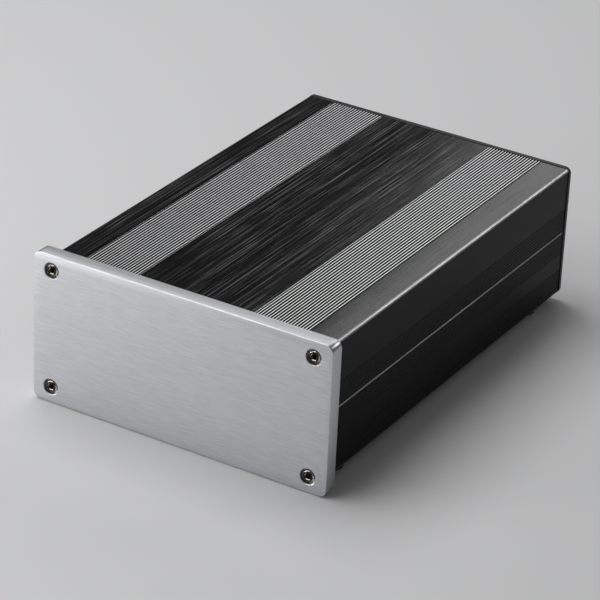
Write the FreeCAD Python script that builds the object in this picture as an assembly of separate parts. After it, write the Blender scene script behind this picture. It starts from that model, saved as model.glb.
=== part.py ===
"""Split-body extruded aluminium enclosure with a thick front panel, a thin rear panel and rubber feet.

Frame: X to the right seen from the front, Y from the front panel to the rear panel, Z up.
The origin lies on the ground plane, under the middle of the whole object.
"""
import FreeCAD, Part
import math
import os

# Extruded body, made of an upper and a lower shell that meet at mid height
body_width = 136.5
body_height = 62.5
body_length = 205.0
body_corner_radius = 2.0
side_wall = 2.0
flat_wall = 2.6

# Front panel, which stands past the body all round
panel_side_overhang = 4.25
panel_flat_overhang = 3.5
panel_thickness = 7.0
panel_corner_radius = 3.5
panel_edge_chamfer = 0.3

# Ridge bands that run along the top and the underside, with crests level with the flats
ridge_pitch = 1.42
ridge_width = 0.80
ridge_depth = 0.9
ridge_crest_rise = 0.10
ridge_count = 18
ridge_band_start = 28.25

# Fine V grooves that run along the side walls, counted from the parting plane
groove_width = 0.5
groove_depth = 0.25
near_groove_start = 1.45
upper_near_groove_count = 8
lower_near_groove_count = 7
far_groove_start = 18.9
upper_far_groove_count = 0
lower_far_groove_count = 8

# Parting of the two shells: a tongue of the upper shell stands in a groove of the lower one
parting_chamfer = 0.5
rail_thickness = 4.0
rail_height = 4.5
tongue_thickness = 1.2
tongue_height = 2.0
tongue_side_clearance = 0.15
tongue_end_clearance = 0.2

# Open screw ports in the four corners
port_from_side = 4.65
port_from_flat = 3.8
port_wall = 1.5
port_mouth = 1.2

# Card slots along the inner side walls
board_thickness = 1.6
board_clearance = 0.2
slot_ledge_thickness = 1.4
slot_ledge_reach = 2.5
slot_heights = (10.0, 18.0)

# Rear panel
rear_thickness = 2.0
rear_overhang = 0.35
rear_corner_radius = 3.0
rear_edge_chamfer = 0.2

# M3 screws
thread_diameter = 3.0
thread_clearance = 0.05
through_clearance = 0.2
socket_width = 2.5
cap_head_diameter = 5.5
cap_head_height = 3.0
cap_head_bevel = 0.6
cap_head_recess = 0.2
cap_socket_depth = 1.6
cap_screw_length = 12.0
counterbore_gap = 0.7
counterbore_chamfer = 0.35
flat_head_diameter = 5.9
flat_head_recess = 0.05
flat_socket_width = 2.0
flat_socket_depth = 0.9
flat_screw_length = 10.0

# Rubber feet, stuck to the flat margins of the underside
foot_diameter = 10.0
foot_edge_bevel = 0.6
foot_from_end = 18.0
panel_ground_clearance = 0.3

# Sizes and places that follow
panel_width = body_width + 2 * panel_side_overhang
panel_height = body_height + 2 * panel_flat_overhang
total_length = panel_thickness + body_length + rear_thickness
front_face_y = -total_length / 2
body_front_y = front_face_y + panel_thickness
body_rear_y = body_front_y + body_length
rear_face_y = body_rear_y + rear_thickness
center_z = panel_ground_clearance + panel_height / 2
half_width = body_width / 2
half_height = body_height / 2
inner_x = half_width - side_wall
inner_z = half_height - flat_wall
port_x = half_width - port_from_side
port_z = half_height - port_from_flat
bore_radius = thread_diameter / 2 + thread_clearance
through_radius = thread_diameter / 2 + through_clearance
ridge_gap = ridge_pitch - ridge_width
ridge_band_end = ridge_band_start + ridge_count * ridge_pitch + ridge_gap
foot_x = (ridge_band_end + half_width - body_corner_radius) / 2
foot_height = panel_flat_overhang + panel_ground_clearance

ALONG_Y = FreeCAD.Vector(0, 1, 0)
CORNERS = {
    "upper_left": (-1, 1),
    "upper_right": (1, 1),
    "lower_left": (-1, -1),
    "lower_right": (1, -1),
}


def flat_point(x, z):
    """Point of a section, which is drawn in the plane Y = 0."""
    return FreeCAD.Vector(x, 0, z)


def flat_polygon(corners):
    """Plane face bounded by straight lines between the (x, z) corners."""
    points = [flat_point(x, z) for x, z in corners]
    return Part.Face(Part.makePolygon(points + points[:1]))


def flat_rectangle(x_low, x_high, z_low, z_high):
    """Plane rectangular face."""
    return flat_polygon([(x_low, z_low), (x_high, z_low), (x_high, z_high), (x_low, z_high)])


def flat_disc(x, z, radius):
    """Plane round face."""
    return Part.Face(Part.Wire(Part.makeCircle(radius, flat_point(x, z), ALONG_Y)))


def bar(section):
    """Solid bar of the body's length with the given plane section."""
    return section.extrude(ALONG_Y * body_length)


def bars_on_both_sides(sections):
    """Bars with the given sections, and their mirror images across X = 0."""
    right = [bar(section) for section in sections]
    left = [solid.mirror(FreeCAD.Vector(0, 0, 0), FreeCAD.Vector(1, 0, 0)) for solid in right]
    return right + left


def rounded_plate(width, height, radius, y_low, y_high):
    """Upright plate, centred on X and on the middle height of the body, with round corners."""
    plate = Part.makeBox(width, y_high - y_low, height,
                         FreeCAD.Vector(-width / 2, y_low, center_z - height / 2))
    corners = [edge for edge in plate.Edges
               if abs(edge.tangentAt(edge.FirstParameter).dot(ALONG_Y)) > 0.99]
    return plate.makeFillet(radius, corners)


def outline_edges(plate, y):
    """Edges of a plate that lie in the plane at the given y."""
    return [edge for edge in plate.Edges
            if abs(edge.BoundBox.YMin - y) < 1e-6 and abs(edge.BoundBox.YMax - y) < 1e-6]


def shell_outline():
    """Outer outline of one shell above the parting plane: round upper corners and bevelled lower ones."""
    side = half_width
    top = half_height
    radius = body_corner_radius
    diagonal = radius * (1 - math.sqrt(0.5))
    bevel = parting_chamfer
    corner_right = Part.Arc(flat_point(side, top - radius),
                            flat_point(side - diagonal, top - diagonal),
                            flat_point(side - radius, top)).toShape()
    corner_left = Part.Arc(flat_point(radius - side, top),
                           flat_point(diagonal - side, top - diagonal),
                           flat_point(-side, top - radius)).toShape()
    edges = [
        Part.makeLine(flat_point(bevel - side, 0), flat_point(side - bevel, 0)),
        Part.makeLine(flat_point(side - bevel, 0), flat_point(side, bevel)),
        Part.makeLine(flat_point(side, bevel), flat_point(side, top - radius)),
        corner_right,
        Part.makeLine(flat_point(side - radius, top), flat_point(radius - side, top)),
        corner_left,
        Part.makeLine(flat_point(-side, top - radius), flat_point(-side, bevel)),
        Part.makeLine(flat_point(-side, bevel), flat_point(bevel - side, 0)),
    ]
    return Part.Face(Part.Wire(edges))


def shell_hollow():
    """Space inside one shell, which leaves a thicker rail along each side of the parting plane."""
    rail_x = half_width - rail_thickness
    slope_top = rail_height + inner_x - rail_x
    return flat_polygon([
        (-rail_x, 0), (rail_x, 0), (rail_x, rail_height), (inner_x, slope_top), (inner_x, inner_z),
        (-inner_x, inner_z), (-inner_x, slope_top), (-rail_x, rail_height),
    ])


def screw_port():
    """Round boss of the right-hand screw port, and the corner block that joins it to both walls."""
    boss = flat_disc(port_x, port_z, bore_radius + port_wall)
    block = flat_rectangle(port_x, inner_x + side_wall / 2, port_z, inner_z + flat_wall / 2)
    return [boss, block]


def port_opening():
    """Bore of the right-hand screw port and its mouth, which points to the middle of the body."""
    bore = flat_disc(port_x, port_z, bore_radius)
    reach = bore_radius + port_wall + port_mouth
    mouth = flat_rectangle(-reach, 0, -port_mouth / 2, port_mouth / 2)
    mouth.rotate(FreeCAD.Vector(0, 0, 0), ALONG_Y, -45)
    mouth.translate(flat_point(port_x, port_z))
    return [bore, mouth]


def slot_ledges():
    """Ledges on the right-hand wall, in pairs that hold the edge of a board between them."""
    gap = board_thickness + board_clearance
    ledges = []
    for height in slot_heights:
        for low in (height - gap / 2 - slot_ledge_thickness, height + gap / 2):
            ledges.append(flat_rectangle(inner_x - slot_ledge_reach, inner_x + side_wall / 2,
                                         low, low + slot_ledge_thickness))
    return ledges


def ridge_pocket():
    """Room of the right-hand ridge band, cut into the top."""
    return flat_rectangle(ridge_band_start, ridge_band_end, half_height - ridge_depth, half_height + 1)


def ridges():
    """Ridges of the right-hand band, each with an arched crest."""
    half = ridge_width / 2
    bottom = half_height - ridge_depth
    shoulder = half_height - ridge_crest_rise
    row = []
    for index in range(ridge_count):
        middle = ridge_band_start + ridge_gap + half + index * ridge_pitch
        crest = Part.Arc(flat_point(middle + half, shoulder), flat_point(middle, half_height),
                         flat_point(middle - half, shoulder)).toShape()
        edges = [
            Part.makeLine(flat_point(middle - half, bottom), flat_point(middle + half, bottom)),
            Part.makeLine(flat_point(middle + half, bottom), flat_point(middle + half, shoulder)),
            crest,
            Part.makeLine(flat_point(middle - half, shoulder), flat_point(middle - half, bottom)),
        ]
        row.append(Part.Face(Part.Wire(edges)))
    return row


def side_grooves(start, count):
    """V grooves in the right-hand side wall, from the given height upwards."""
    half = groove_width / 2
    row = []
    for index in range(count):
        height = start + index * ridge_pitch
        row.append(flat_polygon([(half_width, height - half), (half_width + half, height - half),
                                 (half_width + half, height + half), (half_width, height + half),
                                 (half_width - groove_depth, height)]))
    return row


def tongue():
    """Tongue that hangs from the right-hand rail of the upper shell, with a bevelled tip."""
    middle = half_width - rail_thickness / 2
    half = tongue_thickness / 2
    bevel = half / 2
    return flat_polygon([
        (middle - half, rail_height / 2), (middle + half, rail_height / 2),
        (middle + half, bevel - tongue_height), (middle + half - bevel, -tongue_height),
        (middle - half + bevel, -tongue_height), (middle - half, bevel - tongue_height),
    ])


def tongue_room():
    """Slot in the right-hand rail of the lower shell, drawn like the upper one before it is turned over."""
    middle = half_width - rail_thickness / 2
    half = tongue_thickness / 2 + tongue_side_clearance
    return flat_rectangle(middle - half, middle + half, -1, tongue_height + tongue_end_clearance)


def half_body(near_count, far_count):
    """Shell as it lies above the parting plane, before its tongues or their slots are made."""
    shell = bar(shell_outline()).cut(bar(shell_hollow()))
    shell = shell.fuse(bars_on_both_sides(screw_port() + slot_ledges()))
    shell = shell.cut(bars_on_both_sides(port_opening() + [ridge_pocket()]))
    shell = shell.fuse(bars_on_both_sides(ridges()))
    grooves = side_grooves(near_groove_start, near_count) + side_grooves(far_groove_start, far_count)
    return shell.cut(bars_on_both_sides(grooves))


def finished_shell(shell):
    """Shell as one clean solid at its place in the object."""
    solid = shell.removeSplitter().Solids[0]
    solid.translate(FreeCAD.Vector(0, body_front_y, center_z))
    return solid


def make_upper_shell():
    """Upper shell, which carries the tongues."""
    shell = half_body(upper_near_groove_count, upper_far_groove_count)
    return finished_shell(shell.fuse(bars_on_both_sides([tongue()])))


def make_lower_shell():
    """Lower shell: the same kind of profile turned over, with slots for the tongues."""
    shell = half_body(lower_near_groove_count, lower_far_groove_count)
    shell = shell.cut(bars_on_both_sides([tongue_room()]))
    shell.rotate(FreeCAD.Vector(0, 0, 0), ALONG_Y, 180)
    return finished_shell(shell)


def corner_center(corner):
    """X and Z of the screw axis at a corner."""
    side, level = CORNERS[corner]
    return side * port_x, center_z + level * port_z


def round_hole(corner, radius, y_low, y_high):
    """Cylinder along Y on the screw axis of a corner."""
    x, z = corner_center(corner)
    return Part.makeCylinder(radius, y_high - y_low, FreeCAD.Vector(x, y_low, z), ALONG_Y)


def make_front_panel():
    """Thick front panel with bevelled outlines and a counterbored hole in each corner."""
    panel = rounded_plate(panel_width, panel_height, panel_corner_radius, front_face_y, body_front_y)
    rims = outline_edges(panel, front_face_y) + outline_edges(panel, body_front_y)
    panel = panel.makeChamfer(panel_edge_chamfer, rims)
    bore_depth = cap_head_height + cap_head_recess
    bore_size = cap_head_diameter / 2 + counterbore_gap
    for corner in CORNERS:
        x, z = corner_center(corner)
        bore = round_hole(corner, bore_size, front_face_y, front_face_y + bore_depth)
        bevel = Part.makeCone(bore_size + counterbore_chamfer, bore_size, counterbore_chamfer,
                              FreeCAD.Vector(x, front_face_y, z), ALONG_Y)
        shank = round_hole(corner, through_radius, front_face_y, body_front_y)
        panel = panel.cut([bore, bevel, shank])
    return panel


def make_rear_panel():
    """Thin rear panel with a countersunk hole in each corner."""
    panel = rounded_plate(body_width + 2 * rear_overhang, body_height + 2 * rear_overhang,
                          rear_corner_radius, body_rear_y, rear_face_y)
    panel = panel.makeChamfer(rear_edge_chamfer, outline_edges(panel, rear_face_y))
    sink_radius = flat_head_diameter / 2 + flat_head_recess
    sink_depth = sink_radius - through_radius
    for corner in CORNERS:
        x, z = corner_center(corner)
        sink = Part.makeCone(through_radius, sink_radius, sink_depth,
                             FreeCAD.Vector(x, rear_face_y - sink_depth, z), ALONG_Y)
        shank = round_hole(corner, through_radius, body_rear_y, rear_face_y)
        panel = panel.cut([sink, shank])
    return panel


def hexagon_socket(width, depth):
    """Blind hexagon hole along +Y from the plane Y = 0."""
    corner_radius = width / math.sqrt(3)
    corners = []
    for index in range(6):
        angle = math.radians(60 * index + 30)
        corners.append((corner_radius * math.cos(angle), corner_radius * math.sin(angle)))
    return flat_polygon(corners).extrude(ALONG_Y * depth)


def turned(outline):
    """Solid of revolution about Y from its outline of (radius, y) corners."""
    points = [FreeCAD.Vector(radius, y, 0) for radius, y in outline]
    face = Part.Face(Part.makePolygon(points + points[:1]))
    return face.revolve(FreeCAD.Vector(0, 0, 0), ALONG_Y, 360)


def make_cap_screw():
    """M3 socket cap screw along +Y, with the underside of its head at Y = 0."""
    head = cap_head_diameter / 2
    shank = thread_diameter / 2
    length = cap_screw_length
    top = -cap_head_height
    screw = turned([(0, top), (0, length), (shank, length), (shank, 0), (head, 0),
                    (head, top + cap_head_bevel), (head - cap_head_bevel, top)])
    socket = hexagon_socket(socket_width, cap_socket_depth)
    socket.translate(FreeCAD.Vector(0, top, 0))
    return screw.cut(socket)


def make_flat_screw():
    """M3 countersunk screw along +Y, with the top of its head at Y = 0."""
    head = flat_head_diameter / 2
    shank = thread_diameter / 2
    length = flat_screw_length
    screw = turned([(0, 0), (0, length), (shank, length), (shank, head - shank), (head, 0)])
    return screw.cut(hexagon_socket(flat_socket_width, flat_socket_depth))


def place_front_screw(corner):
    """Cap screw seated in the counterbore of a corner of the front panel."""
    x, z = corner_center(corner)
    screw = make_cap_screw()
    screw.translate(FreeCAD.Vector(x, front_face_y + cap_head_recess + cap_head_height, z))
    return screw


def place_rear_screw(corner):
    """Countersunk screw seated in a corner of the rear panel, pointing forward."""
    x, z = corner_center(corner)
    screw = make_flat_screw()
    screw.rotate(FreeCAD.Vector(0, 0, 0), FreeCAD.Vector(0, 0, 1), 180)
    screw.translate(FreeCAD.Vector(x, rear_face_y - flat_head_recess, z))
    return screw


def make_foot(side, end):
    """Round rubber foot with a bevelled lower edge."""
    if end < 0:
        y = body_front_y + foot_from_end
    else:
        y = body_rear_y - foot_from_end
    foot = Part.makeCylinder(foot_diameter / 2, foot_height)
    rim = [edge for edge in foot.Edges if abs(edge.BoundBox.ZMax) < 1e-6]
    foot = foot.makeChamfer(foot_edge_bevel, rim)
    foot.translate(FreeCAD.Vector(side * foot_x, y, 0))
    return foot


def all_parts():
    """Every piece of the object by its name."""
    parts = {
        "upper_shell": make_upper_shell(),
        "lower_shell": make_lower_shell(),
        "front_panel": make_front_panel(),
        "rear_panel": make_rear_panel(),
    }
    for corner in CORNERS:
        parts["front_screw_" + corner] = place_front_screw(corner)
        parts["rear_screw_" + corner] = place_rear_screw(corner)
    for end_name, end in (("front", -1), ("rear", 1)):
        for side_name, side in (("left", -1), ("right", 1)):
            parts["foot_" + end_name + "_" + side_name] = make_foot(side, end)
    return parts


def main():
    """Write one STEP file for each piece."""
    os.makedirs("parts", exist_ok=True)
    for name, shape in all_parts().items():
        shape.exportStep(os.path.join("parts", name + ".step"))
        print(name, len(shape.Solids), shape.isValid(), round(shape.Volume, 1))


main()
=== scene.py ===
"""Looks of the split-body extruded aluminium enclosure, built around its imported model."""
import logging
from dataclasses import dataclass, field
from enum import Enum
from functools import cache, reduce
from math import acos, asin, cos, degrees, pi, radians, sin, tau
from typing import Any, Callable, Iterable, Sequence

import bmesh
import bpy
from bpy.types import Material, Node, NodeTree, Object
from mathutils import Matrix, Vector
from mathutils.geometry import tessellate_polygon


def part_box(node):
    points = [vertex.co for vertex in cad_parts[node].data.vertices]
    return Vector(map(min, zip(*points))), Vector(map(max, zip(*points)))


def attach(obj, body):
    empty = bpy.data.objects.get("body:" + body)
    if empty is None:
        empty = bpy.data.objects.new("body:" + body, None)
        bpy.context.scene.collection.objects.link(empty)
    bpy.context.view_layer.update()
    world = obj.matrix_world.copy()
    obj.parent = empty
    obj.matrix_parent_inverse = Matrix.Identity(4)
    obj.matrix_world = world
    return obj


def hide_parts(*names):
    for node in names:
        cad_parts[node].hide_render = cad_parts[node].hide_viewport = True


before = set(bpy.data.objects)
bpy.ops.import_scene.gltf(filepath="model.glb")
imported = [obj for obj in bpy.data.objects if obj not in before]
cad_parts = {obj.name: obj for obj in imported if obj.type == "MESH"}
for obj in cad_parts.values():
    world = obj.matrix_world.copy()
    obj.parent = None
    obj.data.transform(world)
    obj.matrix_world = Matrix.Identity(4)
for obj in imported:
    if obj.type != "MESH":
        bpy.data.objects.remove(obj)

logging.basicConfig(level=logging.INFO, format="%(message)s")
LOG = logging.getLogger("enclosure")

MM = 0.001
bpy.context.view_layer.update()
Loop = list[Vector]
Outline = list[tuple[float, float]]
Color = tuple[float, float, float, float]
Span = tuple[float, float]
Triple = tuple[float, float, float]
Socket = bpy.types.NodeSocket
SOCKET_TYPES = {float: "Float", tuple: "Vector"}


class Side(Enum):
    """Which shell a profile is drawn for; the value turns the profile up or down."""

    UPPER = 1
    LOWER = -1


class Graph:
    """Adds and links the nodes of one node tree."""

    def __init__(self, tree: NodeTree) -> None:
        """Wrap the tree that gets the nodes."""
        self.tree = tree

    def add(self, kind: str, sockets: dict[Any, Any] | None = None, **settings: Any) -> Node:
        """Add one node.

        Args:
            kind: The node's type name.
            sockets: Input name or number to a value or to an output socket that feeds it.
            **settings: The node's own properties.

        Returns:
            The new node.
        """
        node = self.tree.nodes.new(kind)
        for name, value in settings.items():
            setattr(node, name, value)
        for key, value in (sockets or {}).items():
            self.feed(node.inputs[key], value)
        return node

    def feed(self, socket: Socket, value: Any) -> None:
        """Link a socket to another one, or give it a plain value.

        Args:
            socket: The input socket.
            value: An output socket or a value.
        """
        if isinstance(value, Socket):
            self.tree.links.new(value, socket)
        else:
            socket.default_value = value

    def group(self, tree: NodeTree, sockets: dict[str, Any]) -> Any:
        """Place a group with these inputs and give its outputs."""
        return self.add("ShaderNodeGroup", sockets, node_tree=tree).outputs

    def math(self, operation: str, *values: Any) -> Socket:
        """Result of a Math node with these operands."""
        return self.add("ShaderNodeMath", dict(enumerate(values)), operation=operation).outputs[0]

    def product(self, *values: Any) -> Socket:
        """Product of some values."""
        return reduce(lambda done, value: self.math("MULTIPLY", done, value), values)

    def split(self, vector: Any) -> tuple[Socket, Socket, Socket]:
        """The X, Y and Z parts of a vector."""
        return tuple(self.add("ShaderNodeSeparateXYZ", {0: vector}).outputs)

    def noise(self, vector: Any, scale: float, detail: float = 2.0, roughness: float = 0.55) -> Socket:
        """Value of a noise texture; detail and roughness say how many finer layers and how strong."""
        sockets = {"Vector": vector, "Scale": scale, "Detail": detail, "Roughness": roughness}
        return self.add("ShaderNodeTexNoise", sockets).outputs[0]

    def remap(self, value: Any, low: Any, high: Any, to_low: Any = 0.0, to_high: Any = 1.0) -> Socket:
        """Value carried from one range to another and held inside it."""
        return self.add("ShaderNodeMapRange", {0: value, 1: low, 2: high, 3: to_low, 4: to_high}).outputs[0]

    def mix(self, mask: Any, first: Any, second: Any) -> Socket:
        """Mix of two values; the mask says how much of the second one there is."""
        return self.add("ShaderNodeMix", {0: mask, 2: first, 3: second}).outputs[0]

    def blend(self, mask: Any, first: Any, second: Any) -> Socket:
        """Mix of two colours; the mask says how much of the second one shows."""
        return self.add("ShaderNodeMix", {0: mask, 6: first, 7: second}, data_type="RGBA").outputs[2]


def new_group(name: str, inputs: dict[str, Any], outputs: dict[str, str],
              kind: str = "ShaderNodeTree") -> tuple:
    """Start a node group with named sockets.

    Args:
        name: The group's name.
        inputs: Each input's name and default, or its type where it has no default.
        outputs: Each output's name and type.
        kind: ShaderNodeTree or GeometryNodeTree.

    Returns:
        The group, its graph, the sockets that it is given and the sockets of its result.
    """
    tree = bpy.data.node_groups.new(name, kind)
    for label, default in inputs.items():
        plain = isinstance(default, str)
        socket_type = "NodeSocket" + (default if plain else SOCKET_TYPES[type(default)])
        socket = tree.interface.new_socket(name=label, in_out="INPUT", socket_type=socket_type)
        if not plain:
            socket.default_value = default
    for label, value_type in outputs.items():
        tree.interface.new_socket(name=label, in_out="OUTPUT", socket_type="NodeSocket" + value_type)
    graph = Graph(tree)
    return tree, graph, graph.add("NodeGroupInput").outputs, graph.add("NodeGroupOutput").inputs


@cache
def brush_grain() -> NodeTree:
    """Shader group of brush or die lines: fine lines and broad cloudy variation.

    Returns:
        The node group.
    """
    tree, graph, given, result = new_group(
        "brush_grain", {"Vector": "Vector", "Stretch": (60.0, 4000.0, 4000.0), "Contrast": 1.0},
        {"Lines": "Float", "Clouds": "Float"})
    stretched = graph.add("ShaderNodeVectorMath", {0: given["Vector"], 1: given["Stretch"]},
                          operation="MULTIPLY").outputs[0]
    both = graph.mix(0.2, graph.noise(stretched, 1.0, 3.0, 0.65), graph.noise(stretched, 0.27))
    centred = graph.product(graph.math("SUBTRACT", both, 0.5), given["Contrast"])
    graph.feed(result["Lines"], graph.math("ADD", centred, 0.5))
    graph.feed(result["Clouds"], graph.noise(given["Vector"], 28.0))
    return tree


@cache
def crest_mask() -> NodeTree:
    """Shader group that finds the crests of the ridge bands from Object coordinates.

    Returns:
        The node group.
    """
    tree, graph, given, result = new_group(
        "crest_mask", {"Vector": "Vector", "Middle Height": 0.035, "Half Height": 0.03125,
                       "Fade": 0.0002, "Band Start": 0.028, "Band End": 0.054},
        {"Mask": "Float"})
    x, _, z = graph.split(given["Vector"])
    across = graph.math("ABSOLUTE", x)
    level = graph.math("ABSOLUTE", graph.math("SUBTRACT", z, given["Middle Height"]))
    below = graph.math("SUBTRACT", given["Half Height"], level)
    crest = graph.remap(below, 0.0, given["Fade"], 1.0, 0.0)
    start = graph.math("GREATER_THAN", across, given["Band Start"])
    end = graph.math("LESS_THAN", across, given["Band End"])
    graph.feed(result["Mask"], graph.product(crest, start, end))
    return tree


@cache
def painted_edge_highlights() -> NodeTree:
    """Shader group of painted highlights on slanting faces at the seam and along the long edges, full where
    the faces look up.

    Returns:
        The node group.
    """
    tree, graph, given, result = new_group(
        "painted_edge_highlights", {"Vector": "Vector", "Normal": "Vector", "Start Across": 0.06,
                      "Middle Height": 0.035, "Seam Reach": 0.0004, "Edge Level": 0.029,
                      "Seam Amount": 0.28, "Edge Amount": 0.75, "Lower Share": 0.6},
        {"Mask": "Float"})
    x, _, z = graph.split(given["Vector"])
    normal_x, _, normal_z = graph.split(given["Normal"])
    # Painted highlight on faces that slant between a side and a flat.
    slanted = graph.remap(graph.math("ABSOLUTE", graph.product(normal_x, normal_z)), 0.24, 0.46)
    upward = graph.math("GREATER_THAN", normal_z, 0.0)
    beyond = graph.math("GREATER_THAN", graph.math("ABSOLUTE", x), given["Start Across"])
    level = graph.math("ABSOLUTE", graph.math("SUBTRACT", z, given["Middle Height"]))
    near_seam = graph.math("LESS_THAN", level, given["Seam Reach"])
    seam = graph.product(near_seam, upward, given["Seam Amount"])
    near_edge = graph.math("GREATER_THAN", level, given["Edge Level"])
    # Edges that look up get the full painted highlight, edges that look down get a share of it.
    edge = graph.product(near_edge, graph.mix(upward, given["Lower Share"], 1.0), given["Edge Amount"])
    uneven = graph.remap(graph.noise(given["Vector"], 30.0), 0.3, 0.7, 0.8, 1.0)
    graph.feed(result["Mask"], graph.product(slanted, beyond, graph.math("ADD", seam, edge), uneven))
    return tree


@cache
def fine_specks() -> NodeTree:
    """Shader group of sparse fine specks.

    Returns:
        The node group.
    """
    tree, graph, given, result = new_group(
        "fine_specks", {"Vector": "Vector", "Scale": 900.0}, {"Mask": "Float"})
    cells = graph.add("ShaderNodeTexVoronoi", {"Vector": given["Vector"], "Scale": given["Scale"]})
    near = graph.remap(cells.outputs["Distance"], 0.05, 0.16, 1.0, 0.0)
    patch = graph.remap(graph.noise(given["Vector"], 60.0), 0.5, 0.7)
    graph.feed(result["Mask"], graph.product(near, patch))
    return tree


class Coat(Graph):
    """Graph of a material under construction, with its coordinates, normal and Principled shader."""

    def __init__(self, name: str) -> None:
        """Start a material with a bare shader.

        Args:
            name: The material's name.
        """
        self.material = bpy.data.materials.new(name)
        self.material.use_nodes = True
        super().__init__(self.material.node_tree)
        self.tree.nodes.clear()
        self.shader = self.add("ShaderNodeBsdfPrincipled")
        self.add("ShaderNodeOutputMaterial", {"Surface": self.shader.outputs[0]})
        coordinates = self.add("ShaderNodeTexCoord").outputs
        self.place = coordinates["Object"]
        self.facing = coordinates["Normal"]

    def look(self, color: Any, roughness: Any, metallic: Any = 0.0, specular: Any = 0.5) -> None:
        """Set the shader's main inputs.

        Args:
            color: The base colour.
            roughness: The roughness.
            metallic: How metallic it is.
            specular: Strength of the reflections of a surface that isn't metallic.
        """
        values = {"Base Color": color, "Roughness": roughness, "Metallic": metallic,
                  "Specular IOR Level": specular}
        for name, value in values.items():
            self.feed(self.shader.inputs[name], value)

    def relief(self, height: Any, depth: float, strength: float) -> None:
        """Give the shader a bump.

        Args:
            height: The height, from 0 to 1.
            depth: Depth of the full height in metres.
            strength: Strength of the bump.
        """
        bump = self.add("ShaderNodeBump", {"Height": height, "Distance": depth, "Strength": strength})
        self.feed(self.shader.inputs["Normal"], bump.outputs[0])


@dataclass(frozen=True)
class Finish:
    """A surface finish, which makes one material; its relief is a depth in metres and a strength."""

    name: str
    tone_range: Span = (0.3, 0.7)
    relief: Span = (0.00002, 0.4)

    def paint(self, coat: Coat) -> None:
        """Dress the material in this finish's own way."""
        raise NotImplementedError

    def make(self) -> Material:
        """Build the material.

        Returns:
            The material.
        """
        coat = Coat(self.name)
        self.paint(coat)
        return coat.material


@dataclass(frozen=True)
class BrushedSilver(Finish):
    """Silver anodised plate, brushed from side to side."""

    stretch: Triple = (110.0, 2300.0, 2300.0)
    contrast: float = 3.0
    dark: Color = (0.52, 0.53, 0.55, 1.0)
    light: Color = (0.70, 0.71, 0.73, 1.0)
    roughness: Span = (0.50, 0.40)
    tone_range: Span = (0.2, 0.8)
    relief: Span = (0.00002, 0.5)
    cloud_share: float = 0.2
    corner_bend: Span = (0.12, 0.40)
    corner_roughness: float = 0.29

    def paint(self, coat: Coat) -> None:
        """Brush lines in colour, roughness and relief, a soft variation and smoother round corners.

        Args:
            coat: The material under construction.
        """
        grain = coat.group(brush_grain(), {"Vector": coat.place, "Stretch": self.stretch,
                                           "Contrast": self.contrast})
        tone = coat.mix(self.cloud_share, grain["Lines"], grain["Clouds"])
        x, _, z = coat.split(coat.facing)
        polish = coat.remap(coat.math("ABSOLUTE", coat.product(x, z)), *self.corner_bend)
        brushed = coat.remap(tone, *self.tone_range, *self.roughness)
        coat.look(coat.blend(tone, self.dark, self.light),
                  coat.mix(polish, brushed, self.corner_roughness), metallic=1.0)
        coat.relief(grain["Lines"], *self.relief)


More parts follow.
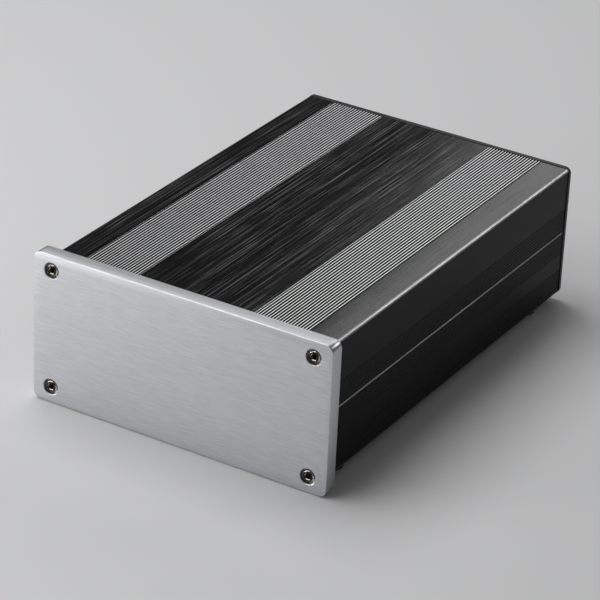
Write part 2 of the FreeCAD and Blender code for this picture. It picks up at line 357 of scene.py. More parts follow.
@dataclass(frozen=True)
class BlackAnodised(Finish):
    """Black anodised extrusion: die lines along its flats, a fine grain on its sides, painted highlights on
    its crests, seam and long edges.
    """

    middle_height: float = 0.035
    half_height: float = 0.03125
    band_start: float = 0.028
    band_end: float = 0.0545
    crest_fade: float = 0.0001
    # Where the painted edge highlight starts across the body and how far below the flat it reaches.
    highlight_start: float = 0.06
    highlight_depth: float = 0.002
    stretch: Triple = (3100.0, 20.0, 3100.0)
    contrast: float = 2.4
    black: Color = (0.003, 0.003, 0.0035, 1.0)
    streaked: Color = (0.160, 0.160, 0.166, 1.0)
    dusty: Color = (0.08, 0.08, 0.08, 1.0)
    # Bright metallic colour of the painted highlights on the crests, the seam and the long edges.
    highlight_metal: Color = (0.92, 0.92, 0.93, 1.0)
    tone_range: Span = (0.45, 0.85)
    cloud_range: Span = (0.35, 0.65)
    cloud_share: Span = (0.30, 1.0)
    streak_range: Span = (0.55, 0.90)
    # Crest heights over which the painted highlight fades in.
    crest_highlight_range: Span = (0.45, 0.75)
    flat_normal: Span = (0.90, 0.99)
    speck_scale: float = 700.0
    speck_share: float = 0.15
    side_grain: Triple = (2600.0, 2.0, 0.6)
    side_streaks: float = 0.14
    side_roughness: float = 0.32
    flat_roughness: Span = (0.085, 0.32)
    crest_roughness: float = 0.36
    shine: Span = (0.08, 0.38)

    def paint(self, coat: Coat) -> None:
        """Streaks and grain in colour, roughness and relief, and painted highlights in a bright metallic
        colour on the crests, the seam and the long edges.

        Args:
            coat: The material under construction.
        """
        place = coat.place
        grain = coat.group(brush_grain(), {"Vector": place, "Stretch": self.stretch,
                                           "Contrast": self.contrast})
        crest = coat.group(crest_mask(), {
            "Vector": place, "Middle Height": self.middle_height, "Half Height": self.half_height,
            "Fade": self.crest_fade, "Band Start": self.band_start, "Band End": self.band_end})["Mask"]
        # Painted highlight: bright lines on the seam bevel and along the long rounded edges.
        edge_highlight = coat.group(painted_edge_highlights(), {
            "Vector": place, "Normal": coat.facing, "Start Across": self.highlight_start,
            "Middle Height": self.middle_height, "Edge Level": self.half_height - self.highlight_depth})["Mask"]
        specks = coat.group(fine_specks(), {"Vector": place, "Scale": self.speck_scale})["Mask"]
        flat = coat.remap(coat.math("ABSOLUTE", coat.split(coat.facing)[2]), *self.flat_normal)
        lines = coat.mix(flat, coat.noise(place, *self.side_grain), grain["Lines"])
        cloud = coat.remap(grain["Clouds"], *self.cloud_range, *self.cloud_share)
        streak = coat.product(coat.remap(lines, *self.streak_range), cloud,
                              coat.mix(flat, self.side_streaks, 1.0))
        tint = coat.blend(streak, self.black, self.streaked)
        tint = coat.blend(coat.product(specks, self.speck_share), tint, self.dusty)
        # Painted highlight: a bright metallic colour on the ridge crests stands in for the lamps' highlights
        # on the black crests.
        crest_highlight = coat.remap(crest, *self.crest_highlight_range)
        painted_highlight = coat.math("MAXIMUM", crest_highlight, edge_highlight)
        drawn = coat.remap(lines, *self.tone_range, *self.flat_roughness)
        satin = coat.mix(flat, self.side_roughness, drawn)
        coat.look(coat.blend(painted_highlight, tint, self.highlight_metal), coat.mix(crest_highlight, satin, self.crest_roughness),
                  painted_highlight, coat.mix(flat, *self.shine))
        coat.relief(coat.product(lines, coat.math("SUBTRACT", 1.0, painted_highlight)), *self.relief)


@dataclass(frozen=True)
class BlackSheet(Finish):
    """Black anodised sheet with a satin face."""

    dark: Color = (0.008, 0.008, 0.009, 1.0)
    light: Color = (0.030, 0.030, 0.032, 1.0)
    roughness: Span = (0.36, 0.48)
    relief: Span = (0.00002, 0.3)
    grain: Triple = (2200.0, 3.0, 0.6)
    cloud_scale: float = 35.0
    cloud_share: float = 0.3
    shine: float = 0.35

    def paint(self, coat: Coat) -> None:
        """Fine satin grain over near black.

        Args:
            coat: The material under construction.
        """
        fine = coat.noise(coat.place, *self.grain)
        tone = coat.mix(self.cloud_share, fine, coat.noise(coat.place, self.cloud_scale))
        coat.look(coat.blend(tone, self.dark, self.light),
                  coat.remap(tone, *self.tone_range, *self.roughness), specular=self.shine)
        coat.relief(fine, *self.relief)


@dataclass(frozen=True)
class DarkNickel(Finish):
    """Dark nickel plate of the screws, a little warm, with a painted highlight on its rounded edges."""

    dark: Color = (0.010, 0.009, 0.008, 1.0)
    light: Color = (0.040, 0.036, 0.031, 1.0)
    # Colour of the painted highlight on the rounded edges.
    painted_highlight: Color = (0.72, 0.66, 0.56, 1.0)
    roughness: Span = (0.12, 0.20)
    relief: Span = (0.00001, 0.25)
    grain: Span = (1500.0, 3.0)
    edge_range: Span = (0.65, 0.96)

    def paint(self, coat: Coat) -> None:
        """Dark nickel with uneven gloss and a painted highlight on its rounded edges.

        Args:
            coat: The material under construction.
        """
        patch = coat.noise(coat.place, *self.grain)
        along = coat.math("ABSOLUTE", coat.split(coat.facing)[1])
        # Painted highlight: the rounded edges between face and side get a bright colour that stands in for
        # the lamps' highlights.
        edge = coat.remap(along, *self.edge_range, 1.0, 0.0)
        plate = coat.blend(patch, self.dark, self.light)
        coat.look(coat.blend(edge, plate, self.painted_highlight),
                  coat.remap(patch, *self.tone_range, *self.roughness), metallic=1.0)
        coat.relief(patch, *self.relief)


@dataclass(frozen=True)
class FootRubber(Finish):
    """Matt black rubber."""

    dark: Color = (0.012, 0.012, 0.012, 1.0)
    light: Color = (0.030, 0.030, 0.030, 1.0)
    dusty: Color = (0.16, 0.16, 0.15, 1.0)
    roughness: Span = (0.62, 0.85)
    relief: Span = (0.00003, 0.5)
    grain: Triple = (3000.0, 3.0, 0.6)
    speck_scale: float = 1200.0
    speck_share: float = 0.4

    def paint(self, coat: Coat) -> None:
        """Fine pebbled rubber with faint dust.

        Args:
            coat: The material under construction.
        """
        place = coat.place
        grain = coat.noise(place, *self.grain)
        specks = coat.group(fine_specks(), {"Vector": place, "Scale": self.speck_scale})["Mask"]
        base = coat.blend(grain, self.dark, self.light)
        coat.look(coat.blend(coat.product(specks, self.speck_share), base, self.dusty),
                  coat.remap(grain, *self.tone_range, *self.roughness))
        coat.relief(grain, *self.relief)


def turned_loop(center: Vector, y: float, count: int, reach: Callable[[float], float]) -> Loop:
    """Closed loop of points about an axis along Y.

    Args:
        center: A point on the axis.
        y: The loop's place along Y.
        count: Number of points.
        reach: Distance from the axis for each share of a full turn.

    Returns:
        The points.
    """
    points = []
    for i in range(count):
        radius, angle = reach(i / count), 2 * pi * i / count
        points.append(Vector((center.x + radius * cos(angle), y, center.z + radius * sin(angle))))
    return points


def plate_loop(middle: Vector, width: float, height: float, radius: float, y: float, count: int) -> Loop:
    """Points of a rectangle with round corners in a plane of constant Y.

    Args:
        middle: The rectangle's middle.
        width: Its size along X.
        height: Its size along Z.
        radius: Radius of its corners.
        y: Its place along Y.
        count: Number of points on each corner.

    Returns:
        The points, in order.
    """
    points = []
    for quarter, (sx, sz) in enumerate(((1, 1), (-1, 1), (-1, -1), (1, -1))):
        cx = middle.x + sx * (width / 2 - radius)
        cz = middle.z + sz * (height / 2 - radius)
        for i in range(count):
            angle = pi / 2 * (quarter + i / (count - 1))
            points.append(Vector((cx + radius * cos(angle), y, cz + radius * sin(angle))))
    return points


def arc(cx: float, cz: float, radius: float, start: float, end: float, count: int) -> Outline:
    """Points along an arc about a centre, in steps from one angle in degrees to another."""
    angles = [radians(start + (end - start) * i / count) for i in range(count + 1)]
    return [(cx + radius * cos(a), cz + radius * sin(a)) for a in angles]


def new_object(name: str, data: Any) -> Object:
    """Put an object with this mesh, lamp or camera in the scene.

    Args:
        name: The object's name.
        data: Its mesh, lamp or camera.

    Returns:
        The object.
    """
    thing = bpy.data.objects.new(name, data)
    bpy.context.scene.collection.objects.link(thing)
    return thing


@dataclass
class MeshSketch:
    """Mesh under construction, made of loops of points and the skins between them."""

    mesh: bmesh.types.BMesh = field(default_factory=bmesh.new)

    def skin(self, loops: Sequence[Loop]) -> None:
        """Join each loop to the next with a band of quads.

        Args:
            loops: Loops with the same number of points.
        """
        rows = [[self.mesh.verts.new(point) for point in loop] for loop in loops]
        for lower, upper in zip(rows, rows[1:]):
            for i, vertex in enumerate(lower):
                j = (i + 1) % len(lower)
                self.mesh.faces.new((vertex, lower[j], upper[j], upper[i]))

    def sheet(self, outer: Loop, holes: Sequence[Loop] = ()) -> None:
        """Fill a flat outline that may have holes.

        Args:
            outer: The outline.
            holes: The outlines of its holes.
        """
        loops = [outer, *holes]
        vertices = [self.mesh.verts.new(point) for loop in loops for point in loop]
        flat = [[Vector((point.x, point.z, point.y)) for point in loop] for loop in loops]
        for triangle in tessellate_polygon(flat):
            self.mesh.faces.new([vertices[i] for i in triangle])

    def cap(self, loop: Loop, tip: Vector) -> None:
        """Close a loop with triangles to one point.

        Args:
            loop: The loop.
            tip: The point.
        """
        vertices = [self.mesh.verts.new(point) for point in loop]
        end = self.mesh.verts.new(tip)
        for i, vertex in enumerate(vertices):
            self.mesh.faces.new((vertex, vertices[(i + 1) % len(vertices)], end))

    def finish(self, name: str, material: Material, flat: bool = False) -> Object:
        """Weld the mesh, turn its faces outwards and put it in the scene.

        Args:
            name: The object's name.
            material: Its material.
            flat: Whether it is a flat sheet, whose faces all turn to positive Y.

        Returns:
            The object.
        """
        bmesh.ops.remove_doubles(self.mesh, verts=self.mesh.verts, dist=1e-7)
        if flat:
            for face in self.mesh.faces:
                face.normal_update()
                if face.normal.y < 0:
                    face.normal_flip()
        else:
            bmesh.ops.recalc_face_normals(self.mesh, faces=self.mesh.faces)
        data = bpy.data.meshes.new(name)
        self.mesh.to_mesh(data)
        self.mesh.free()
        data.materials.append(material)
        return new_object(name, data)


def run_nodes(thing: Object, tree: NodeTree, values: dict[str, Any]) -> None:
    """Run a Geometry Nodes tree on an object and keep its result as the plain mesh.

    Args:
        thing: The object.
        tree: The tree.
        values: Values of the tree's named inputs.
    """
    modifier = thing.modifiers.new(tree.name, "NODES")
    modifier.node_group = tree
    sockets = {item.name: item.identifier for item in tree.interface.items_tree
               if item.item_type == "SOCKET" and item.in_out == "INPUT"}
    for name, value in values.items():
        modifier[sockets[name]] = value
    view = bpy.context.evaluated_depsgraph_get()
    result = bpy.data.meshes.new_from_object(thing.evaluated_get(view), preserve_all_data_layers=True,
                                             depsgraph=view)
    thing.modifiers.remove(modifier)
    old = thing.data
    thing.data = result
    bpy.data.meshes.remove(old)
    result.name = thing.name


def end_tree(graph: Graph, geometry: Socket, finish: Socket, result: Socket) -> None:
    """End a Geometry Nodes tree with real geometry in one material.

    Args:
        graph: The tree's graph.
        geometry: The geometry.
        finish: The socket that gives the material.
        result: The tree's output socket.
    """
    real = graph.add("GeometryNodeRealizeInstances", {"Geometry": geometry})
    dressed = graph.add("GeometryNodeSetMaterial", {"Geometry": real.outputs[0], "Material": finish})
    graph.feed(result, dressed.outputs[0])


@cache
def extrusion_tree() -> NodeTree:
    """Geometry Nodes tree that pushes a flat profile along Y into a closed bar.

    Returns:
        The tree.
    """
    tree, graph, given, result = new_group(
        "extrusion", {"Geometry": "Geometry", "Length": 0.2, "Finish": "Material"},
        {"Geometry": "Geometry"}, "GeometryNodeTree")
    offset = graph.add("ShaderNodeCombineXYZ", {1: given["Length"]})
    pushed = graph.add("GeometryNodeExtrudeMesh", {
        "Mesh": given["Geometry"], "Offset": offset.outputs[0], "Offset Scale": 1.0, "Individual": False},
        mode="FACES")
    start = graph.add("GeometryNodeFlipFaces", {"Mesh": given["Geometry"]})
    joined = graph.add("GeometryNodeJoinGeometry")
    graph.feed(joined.inputs[0], pushed.outputs["Mesh"])
    graph.feed(joined.inputs[0], start.outputs[0])
    welded = graph.add("GeometryNodeMergeByDistance", {"Geometry": joined.outputs[0], "Distance": 1e-7})
    end_tree(graph, welded.outputs[0], given["Finish"], result["Geometry"])
    return tree


@cache
def four_corners_tree() -> NodeTree:
    """Geometry Nodes tree that sets a copy of the piece at each corner of a rectangle.

    Returns:
        The tree.
    """
    tree, graph, given, result = new_group(
        "four_corners", {"Geometry": "Geometry", "Span Across": 0.1, "Span Along": 0.1,
                         "Middle": (0.0, 0.0, 0.0), "Upright": 0.0, "Finish": "Material"},
        {"Geometry": "Geometry"}, "GeometryNodeTree")
    grid = graph.add("GeometryNodeMeshGrid", {"Size X": given["Span Across"], "Size Y": given["Span Along"],
                                              "Vertices X": 2, "Vertices Y": 2})
    turn = graph.add("ShaderNodeCombineXYZ", {0: given["Upright"]})
    placed = graph.add("GeometryNodeTransform", {"Geometry": grid.outputs[0], "Translation": given["Middle"],
                                                 "Rotation": turn.outputs[0]})
    copies = graph.add("GeometryNodeInstanceOnPoints", {"Points": placed.outputs[0],
                                                        "Instance": given["Geometry"]})
    end_tree(graph, copies.outputs[0], given["Finish"], result["Geometry"])
    return tree


def node_middle(*names: str) -> Vector:
    """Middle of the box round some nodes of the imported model.

    Args:
        *names: The nodes.

    Returns:
        The middle.
    """
    boxes = [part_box(name) for name in names]
    low = [min(box[0][axis] for box in boxes) for axis in range(3)]
    high = [max(box[1][axis] for box in boxes) for axis in range(3)]
    return Vector([(low[axis] + high[axis]) / 2 for axis in range(3)])


def settle(thing: Object, slot: str, nodes: Iterable[str], sharp: float) -> Object:
    """Shade a piece smooth, let it ride on the body, log its slot and let it stand for its nodes.

    Args:
        thing: The piece.
        slot: The record's material slot.
        nodes: The nodes it stands for.
        sharp: Its edges turn sharp above this angle in degrees.

    Returns:
        The piece.
    """
    thing.data.shade_smooth()
    thing.data.set_sharp_from_angle(angle=radians(sharp))
    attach(thing, "root")
    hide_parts(*nodes)
    LOG.info("%s: %d faces, slot %s", thing.name, len(thing.data.polygons), slot)
    return thing


@dataclass
class Shell:
    """One extruded half of the body. Sizes are in millimetres, seen from the parting plane."""

    side: Side
    near_grooves: int
    far_grooves: int
    half_width: float = 68.25
    half_height: float = 31.25
    corner: float = 2.0
    corner_steps: int = 14
    side_wall: float = 2.0
    flat_wall: float = 2.6
    pitch: float = 1.42
    ridge: float = 0.80
    ridge_depth: float = 0.9
    ridge_root: float = 0.12
    crest_rise: float = 0.10
    crest_steps: int = 8
    shoulder: float = 0.09
    small_steps: int = 3
    lip: float = 0.05
    ridge_count: int = 18
    band_start: float = 28.25
    groove: float = 0.5
    groove_depth: float = 0.25
    near_start: float = 1.45
    far_start: float = 18.9
    bevel: float = 0.5
    rail: float = 4.0
    rail_height: float = 4.5
    tongue: float = 1.2
    tongue_height: float = 2.0
    tongue_gap: float = 0.15
    tongue_end_gap: float = 0.2
    port_from_side: float = 4.65
    port_from_flat: float = 3.8
    bore: float = 1.55
    port_wall: float = 1.5
    port_steps: tuple[int, int, int] = (14, 40, 10)
    mouth: float = 1.2
    mouth_angle: float = 225.0
    board_gap: float = 1.8
    ledge: float = 1.4
    ledge_reach: float = 2.5
    slots: tuple[float, ...] = (10.0, 18.0)
    sharp: float = 25.0

    @property
    def name(self) -> str:
        """Name of the node that this shell stands for."""
        return "upper_shell" if self.side is Side.UPPER else "lower_shell"

    def ridge_band(self) -> Outline:
        """Draw the ridges from the middle outwards.

        Returns:
            The points.
        """
        top, root = self.half_height, self.ridge_root
        floor = top - self.ridge_depth + root
        half, gap = self.ridge / 2, self.pitch - self.ridge
        reach = half - self.shoulder / 2
        radius = (reach * reach + self.crest_rise ** 2) / (2 * self.crest_rise)
        spread = degrees(asin(reach / radius))
        turn = radians(90 - spread)
        shoulder_x = reach - self.shoulder * cos(turn)
        shoulder_z = top - self.crest_rise - self.shoulder * sin(turn)
        points = [(self.band_start - self.lip, top), (self.band_start, top - self.lip)]
        for index in range(self.ridge_count + 1):
            left = self.band_start + index * self.pitch
            right = left + gap
            points += arc(left + root, floor, root, 180, 270, self.small_steps)
            points += arc(right - root, floor, root, 270, 360, self.small_steps)
            if index < self.ridge_count:
                middle = right + half
                points += arc(middle - shoulder_x, shoulder_z, self.shoulder, 180, 90 + spread,
                              self.small_steps)
                points += arc(middle, top - radius, radius, 90 + spread, 90 - spread,
                              self.crest_steps)[1:-1]
                points += arc(middle + shoulder_x, shoulder_z, self.shoulder, 90 - spread, 0,
                              self.small_steps)
        return points + [(right, top - self.lip), (right + self.lip, top)]

    def side_grooves(self) -> Outline:
        """Draw the side wall's V grooves from the top down.

        Returns:
            The points.
        """
        heights = [self.near_start + i * self.pitch for i in range(self.near_grooves)]
        heights += [self.far_start + i * self.pitch for i in range(self.far_grooves)]
        half, lip, x = self.groove / 2, self.lip, self.half_width
        deep = x - self.groove_depth
        points = []
        for z in sorted(heights, reverse=True):
            points += [(x, z + half + lip), (x - lip / 2, z + half), (deep, z + lip / 2),
                       (deep, z - lip / 2), (x - lip / 2, z - half), (x, z - half - lip)]
        return points

    def parting(self) -> Outline:
        """Draw the parting face from the outside in, with the tongue or its slot.

        Returns:
            The points.
        """
        middle = self.half_width - self.rail / 2
        if self.side is Side.UPPER:
            half = self.tongue / 2
            tip = half / 2
            low = -self.tongue_height
            walls = [(middle + half, 0), (middle + half, low + tip), (middle + half - tip, low),
                     (middle - half + tip, low), (middle - half, low + tip), (middle - half, 0)]
        else:
            half = self.tongue / 2 + self.tongue_gap
            deep = self.tongue_height + self.tongue_end_gap
            walls = [(middle + half, 0), (middle + half, deep), (middle - half, deep), (middle - half, 0)]
        return [(self.half_width, self.bevel), (self.half_width - self.bevel, 0), *walls,
                (self.half_width - self.rail, 0)]

    def inner_wall(self) -> Outline:
        """Draw the inner side from the rail up to the flat wall: card slots, then the screw port.

        Returns:
            The points.
        """
        wall_x = self.half_width - self.side_wall
        wall_z = self.half_height - self.flat_wall
        rail_x = self.half_width - self.rail
        points = [(rail_x, self.rail_height), (wall_x, self.rail_height + wall_x - rail_x)]
        for slot in self.slots:
            for low in (slot - self.board_gap / 2 - self.ledge, slot + self.board_gap / 2):
                reach = wall_x - self.ledge_reach
                points += [(wall_x, low), (reach, low), (reach, low + self.ledge),
                           (wall_x, low + self.ledge)]
        cx = self.half_width - self.port_from_side
        cz = self.half_height - self.port_from_flat
        boss = self.bore + self.port_wall
        from_side = -degrees(acos((wall_x - cx) / boss))
        to_flat = 180 - degrees(asin((wall_z - cz) / boss))
        outer_half = degrees(asin(self.mouth / 2 / boss))
        inner_half = degrees(asin(self.mouth / 2 / self.bore))
        mouth, back = self.mouth_angle, self.mouth_angle - 360
        side_steps, bore_steps, flat_steps = self.port_steps
        points += arc(cx, cz, boss, from_side, back + outer_half, side_steps)
        points += arc(cx, cz, self.bore, back + inner_half, mouth - inner_half, bore_steps)
        points += arc(cx, cz, boss, mouth - outer_half, to_flat, flat_steps)
        return points

    def outline(self) -> Outline:
        """Draw the whole section above the parting plane.

        Returns:
            The points, in order.
        """
        center_x, center_z = self.half_width - self.corner, self.half_height - self.corner
        corner = arc(center_x, center_z, self.corner, 90, 0, self.corner_steps)
        right = self.ridge_band() + corner + self.side_grooves() + self.parting() + self.inner_wall()
        return right + [(-x, z) for x, z in reversed(right)]

    def build(self, finish: Material) -> Object:
        """Draw the profile, extrude it and dress it.

        Args:
            finish: The shell's material.

        Returns:
            The piece.
        """
        low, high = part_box(self.name)
        turn = self.side.value
        seam = low[2] if self.side is Side.LOWER else high[2]
        level = seam - self.half_height * MM * turn
        flat = []
        for x, z in self.outline():
            point = Vector((x * turn * MM, low[1], level + z * turn * MM))
            if not flat or (point - flat[-1]).length > 1e-7:
                flat.append(point)
        sketch = MeshSketch()
        sketch.sheet(flat)
        thing = sketch.finish(self.name + "_extrusion", finish, flat=True)
        run_nodes(thing, extrusion_tree(), {"Length": high[1] - low[1], "Finish": finish})
        return settle(thing, "black_anodised", [self.name], self.sharp)


@dataclass
class Panel:
    """An end panel with four screw holes. Sizes are in millimetres."""

    node: str
    outward: int
    corner: float
    rim: float
    hole: float
    seat: tuple[Span, ...]
    screws: tuple[str, ...]
    corner_points: int = 12
    rim_steps: int = 4
    hole_sides: int = 64
    sharp: float = 32.0

    def build(self, slot: str, finish: Material) -> Object:
        """Make the plate with its rounded rims and its holes.

        Args:
            slot: The record's material slot.
            finish: The plate's material.

        Returns:
            The piece.
        """
        low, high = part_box(self.node)
        width, height = high[0] - low[0], high[2] - low[2]
        middle = node_middle(self.node)
        outside, inside = (low[1], high[1]) if self.outward < 0 else (high[1], low[1])
        inward = -self.outward
        rim = self.rim * MM
        angles = [pi / 2 * i / self.rim_steps for i in range(self.rim_steps + 1)]
        rounding = [(rim * (1 - sin(a)), rim * (1 - cos(a))) for a in angles]
        rows = [(inset, outside + inward * depth) for inset, depth in rounding]
        rows += [(inset, inside - inward * depth) for inset, depth in reversed(rounding)]
        loops = [plate_loop(middle, width - 2 * inset, height - 2 * inset, self.corner * MM - inset, y,
                            self.corner_points) for inset, y in rows]
        sketch = MeshSketch()
        sketch.skin(loops)
        mouths, ends = [], []
        for screw in self.screws:
            axis = node_middle(screw)
            levels = [(radius, outside + inward * depth * MM) for radius, depth in self.seat]
            levels.append((self.hole, inside))
            stack = [turned_loop(axis, y, self.hole_sides, lambda turn: radius * MM) for radius, y in levels]
            sketch.skin(stack)
            mouths.append(stack[0])
            ends.append(stack[-1])
        sketch.sheet(loops[0], mouths)
        sketch.sheet(loops[-1], ends)
        thing = sketch.finish(self.node + "_plate", finish)
        return settle(thing, slot, [self.node], self.sharp)


@dataclass
class ScrewSet:
    """Four equal screws along Y with their heads to the outside. Sizes are in millimetres."""

    name: str
    nodes: tuple[str, ...]
    outward: int
    head: tuple[Span, ...]
    socket: float
    socket_depth: float
    length: float
    knurled_rows: range = range(0)
    knurl: float = 0.06
    socket_bevel: Span = (0.45, 0.2)
    socket_cone: float = 0.35
    shank: float = 1.5
    root: float = 1.22
    thread_pitch: float = 0.5
    thread_rows: int = 6
    crest_gain: float = 1.25
    point: float = 0.4
    point_taper: float = 0.25
    sides: int = 48
    sharp: float = 28.0

    def loop(self, y: float, reach: Callable[[float], float]) -> Loop:
        """Closed loop about the screw's axis, with a radius for each share of a turn."""
        return turned_loop(Vector(), y * MM, self.sides, lambda turn: reach(turn) * MM)

    def hexagon(self, width: float, y: float) -> Loop:
        """Hexagon of the socket, with as many points as the circles have."""
        sixth = pi / 3
        return self.loop(y, lambda turn: width / 2 / cos(tau * turn % sixth - sixth / 2))

    def knurled(self, radius: float, y: float) -> Loop:
        """Circle with shallow teeth, as on the side of a cap head."""
        return self.loop(y, lambda turn: radius - self.knurl * (round(turn * self.sides) % 2))

    def thread(self, start: float, end: float) -> list[Loop]:
        """Loops of the thread along the shank.

        Args:
            start: Where the thread starts.
            end: Where it ends.

        Returns:
            The loops.
        """
        loops, pitch = [], self.thread_pitch
        count = int((end - start) / pitch * self.thread_rows)
        for row in range(count + 1):
            y = start + (end - start) * row / count
            depth = (self.shank - self.root) * max(0.0, min(1.0, (y - start) / pitch, (end - y) / pitch))

            def reach(turn: float) -> float:
                """Radius of the thread at a share of a turn."""
                rise = 1.0 - abs(2.0 * ((y / pitch - turn) % 1.0) - 1.0)
                return self.root + depth * min(1.0, self.crest_gain * rise)

            loops.append(self.loop(y, reach))
        return loops

    def build(self, finish: Material) -> Object:
        """Turn one screw, set four of them and dress them.

        Args:
            finish: The screws' material.

        Returns:
            The piece.
        """
        top, bottom = self.head[0][1], self.head[-1][1]
        floor = top + self.socket_depth
        wider, deeper = self.socket_bevel
        loops = [self.hexagon(self.socket, floor), self.hexagon(self.socket, top + deeper),
                 self.hexagon(self.socket + wider, top)]
        for index, (radius, y) in enumerate(self.head):
            knurled = index in self.knurled_rows
            loops.append(self.knurled(radius, y) if knurled else self.loop(y, lambda turn: radius))
        loops += self.thread(bottom, self.length - self.point)
        loops.append(self.loop(self.length, lambda turn: self.root - self.point_taper))
        sketch = MeshSketch()
        sketch.skin(loops)
        sketch.cap(loops[0], Vector((0, (floor + self.socket_cone) * MM, 0)))
        sketch.cap(loops[-1], Vector((0, self.length * MM, 0)))
        if self.outward > 0:
            half_turn = Matrix.Rotation(pi, 3, "Z")
            bmesh.ops.rotate(sketch.mesh, verts=sketch.mesh.verts, cent=Vector(), matrix=half_turn)
        thing = sketch.finish(self.name, finish)
        boxes = [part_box(node) for node in self.nodes]
        first, middle = node_middle(self.nodes[0]), node_middle(*self.nodes)
        if self.outward < 0:
            y = min(box[0][1] for box in boxes) - top * MM
        else:
            y = max(box[1][1] for box in boxes) + top * MM
        run_nodes(thing, four_corners_tree(), {
            "Span Across": 2 * abs(first.x - middle.x), "Span Along": 2 * abs(first.z - middle.z),
            "Middle": (middle.x, y, middle.z), "Upright": pi / 2, "Finish": finish})
        return settle(thing, "screw_steel", self.nodes, self.sharp)


@dataclass
class FootSet:
    """Four stick-on rubber feet. Sizes are in millimetres."""

    nodes: tuple[str, ...] = ("foot_front_left", "foot_front_right", "foot_rear_left", "foot_rear_right")
    radius: float = 5.0
    top_bevel: float = 0.1
    edge: float = 0.6
    edge_steps: int = 6
    dimple_radius: float = 2.4
    dimple_depth: float = 0.5
    dimple_edge: float = 0.2
    dimple_middle: float = 0.02
    dimple_steps: int = 5
    sides: int = 64
    sharp: float = 32.0

    def build(self, finish: Material) -> Object:
        """Mould one foot, set four of them and dress them.

        Args:
            finish: The feet's material.

        Returns:
            The piece.
        """
        low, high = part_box(self.nodes[0])
        height = (high[2] - low[2]) / MM
        profile = [(self.radius - self.top_bevel, height), (self.radius, height - self.top_bevel)]
        for i in range(self.edge_steps + 1):
            angle = pi / 2 * i / self.edge_steps
            profile.append((self.radius - self.edge * (1 - cos(angle)),
                            self.edge * (1 - sin(angle))))
        profile.append((self.dimple_radius + self.dimple_edge, 0.0))
        for i in range(1, self.dimple_steps + 1):
            angle = pi / 2 * i / self.dimple_steps
            profile.append((self.dimple_radius * cos(angle) + self.dimple_middle,
                            self.dimple_depth * sin(angle)))
        loops = []
        for radius, z in profile:
            circle = turned_loop(Vector(), 0.0, self.sides, lambda turn: radius * MM)
            loops.append([Vector((point.x, point.z, z * MM)) for point in circle])
        sketch = MeshSketch()
        sketch.skin(loops)
        sketch.cap(loops[0], Vector((0, 0, height * MM)))
        sketch.cap(loops[-1], Vector((0, 0, self.dimple_depth * MM)))
        thing = sketch.finish("rubber_feet", finish)
        first, middle = node_middle(self.nodes[0]), node_middle(*self.nodes)
        run_nodes(thing, four_corners_tree(), {
            "Span Across": 2 * abs(first.x - middle.x), "Span Along": 2 * abs(first.y - middle.y),
            "Middle": (middle.x, middle.y, low[2]), "Upright": 0.0, "Finish": finish})
        return settle(thing, "foot_rubber", self.nodes, self.sharp)


@dataclass(frozen=True)
class Softbox:
    """A flat soft lamp that faces one point."""

    name: str
    place: Triple
    size: Span
    power: float
    turn: float = 0.0
    aim: Triple = (0.0, 0.0, 0.03)

    def hang(self) -> None:
        """Put the lamp in the scene."""
        data = bpy.data.lights.new(self.name, "AREA")
        data.shape = "RECTANGLE"
        data.size, data.size_y = self.size
        data.energy = self.power
        thing = new_object(self.name, data)
        thing.location = self.place
        facing = (Vector(self.aim) - Vector(self.place)).to_track_quat("-Z", "Y").to_matrix()
        thing.rotation_euler = (facing @ Matrix.Rotation(radians(self.turn), 3, "Z")).to_euler()


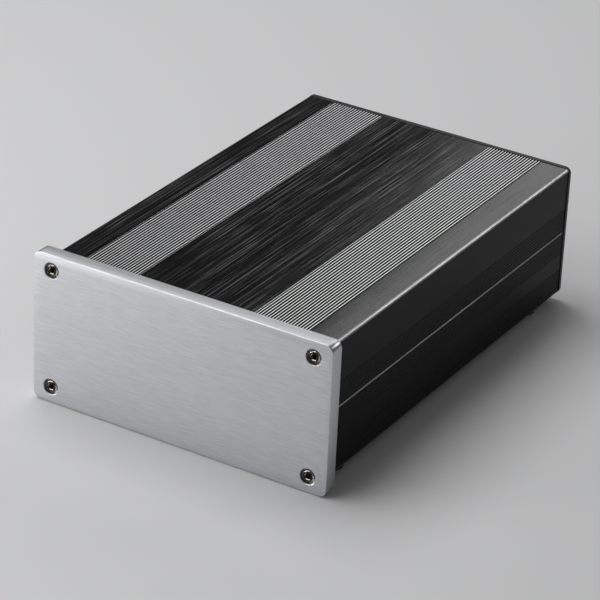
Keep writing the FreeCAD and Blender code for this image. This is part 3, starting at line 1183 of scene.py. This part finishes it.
@dataclass
class Studio:
    """Pale floor, soft lights and the camera. Sizes are in metres and angles in degrees."""

    azimuth: float = 30.23
    elevation: float = 27.39
    roll: float = 2.80
    distance: float = 1.3608
    target: Triple = (-0.00223, -0.00684, 0.02581)
    lens: float = 187.5
    sensor: float = 36.0
    floor_half: float = 4.0
    floor_color: Color = (0.70, 0.70, 0.71, 1.0)
    floor_roughness: float = 0.85
    floor_shine: float = 0.2
    world_color: Color = (0.86, 0.87, 0.88, 1.0)
    world_strength: float = 0.07
    lamps: tuple[Softbox, ...] = (
        Softbox("key_softbox", (-0.55, 0.15, 1.35), (1.00, 1.00), 11.0),
        Softbox("front_key", (-0.46, -0.56, 0.84), (0.75, 0.66), 3.0),
        Softbox("back_softbox", (-0.232, 1.10, 0.902), (0.75, 0.75), 2.65, 60.0, (-0.232, 0.0, 0.902)),
        Softbox("edge_card", (0.64, 1.07, 0.69), (0.45, 0.35), 1.4),
        Softbox("left_card", (-0.62, -0.34, 0.09), (0.36, 0.13), 1.2),
        Softbox("front_left_card", (-0.36, -0.48, 0.10), (0.22, 0.13), 0.7),
    )

    def floor(self) -> None:
        """Lay the floor."""
        coat = Coat("studio_floor")
        coat.look(self.floor_color, self.floor_roughness, specular=self.floor_shine)
        half = self.floor_half
        corners = [(-half, -half, 0), (half, -half, 0), (half, half, 0), (-half, half, 0)]
        data = bpy.data.meshes.new("studio_floor")
        data.from_pydata(corners, [], [(0, 1, 2, 3)])
        data.materials.append(coat.material)
        thing = new_object("studio_floor", data)

    def world(self) -> None:
        """Set a plain dim world that fills the shadows."""
        world = bpy.data.worlds.new("studio_world")
        world.use_nodes = True
        world.node_tree.nodes.clear()
        bpy.context.scene.world = world
        graph = Graph(world.node_tree)
        back = graph.add("ShaderNodeBackground", {"Color": self.world_color,
                                                  "Strength": self.world_strength})
        graph.add("ShaderNodeOutputWorld", {0: back.outputs[0]})

    def camera(self) -> None:
        """Set the camera at the photograph's angle."""
        az, el, roll = (radians(v) for v in (self.azimuth, self.elevation, self.roll))
        back = Vector((sin(az) * cos(el), -cos(az) * cos(el), sin(el)))
        right = Vector((cos(az), sin(az), 0))
        up = back.cross(right)
        x_axis = cos(roll) * right + sin(roll) * up
        y_axis = cos(roll) * up - sin(roll) * right
        data = bpy.data.cameras.new("camera")
        data.lens = self.lens
        data.sensor_width = self.sensor
        thing = new_object("camera", data)
        place = Vector(self.target) + back * self.distance
        turned = Matrix((x_axis, y_axis, back)).transposed()
        thing.matrix_world = Matrix.Translation(place) @ turned.to_4x4()
        bpy.context.scene.camera = thing

    def build(self) -> None:
        """Set the whole stage."""
        bpy.context.scene.view_settings.view_transform = "Standard"
        self.floor()
        self.world()
        for lamp in self.lamps:
            lamp.hang()
        self.camera()


CORNER_NAMES = ("upper_left", "upper_right", "lower_left", "lower_right")
FRONT_SCREWS = tuple("front_screw_" + corner for corner in CORNER_NAMES)
REAR_SCREWS = tuple("rear_screw_" + corner for corner in CORNER_NAMES)
COUNTERBORE = ((3.85, 0.0), (3.58, 0.24), (3.58, 3.2), (1.70, 3.2))
COUNTERSINK = ((3.0, 0.0), (1.70, 1.3))
CAP_ROUNDING = tuple((2.75 + x, z - 3.0) for x, z in arc(-0.95, 0.95, 0.95, -90, 0, 8))
CAP_HEAD = CAP_ROUNDING + ((2.75, -2.0), (2.75, -0.3), (2.68, -0.05), (2.6, 0.0), (1.5, 0.0), (1.5, 0.3))
FLAT_HEAD = ((2.85, 0.0), (2.95, 0.03), (2.93, 0.1), (1.5, 1.45), (1.5, 1.7))


def main() -> None:
    """Build every piece, then the studio, and keep the model's sizes."""
    middle = node_middle("upper_shell", "lower_shell")
    anodised = BlackAnodised("black_anodised", middle_height=middle.z).make()
    silver = BrushedSilver("brushed_silver").make()
    black = BlackSheet("black_sheet").make()
    nickel = DarkNickel("dark_nickel").make()
    rubber = FootRubber("foot_rubber").make()
    Shell(Side.UPPER, near_grooves=8, far_grooves=0).build(anodised)
    Shell(Side.LOWER, near_grooves=7, far_grooves=8).build(anodised)
    Panel("front_panel", -1, corner=3.5, rim=0.3, hole=1.7, seat=COUNTERBORE,
          screws=FRONT_SCREWS).build("brushed_silver", silver)
    Panel("rear_panel", 1, corner=3.0, rim=0.2, hole=1.7, seat=COUNTERSINK,
          screws=REAR_SCREWS).build("black_panel", black)
    ScrewSet("front_screws", FRONT_SCREWS, -1, CAP_HEAD, socket=2.5, socket_depth=1.6, length=12.0,
             knurled_rows=range(7, 13)).build(nickel)
    ScrewSet("rear_screws", REAR_SCREWS, 1, FLAT_HEAD, socket=2.0, socket_depth=0.9,
             length=10.0).build(nickel)
    FootSet().build(rubber)
    Studio().build()


if __name__ == "__main__":
    main()
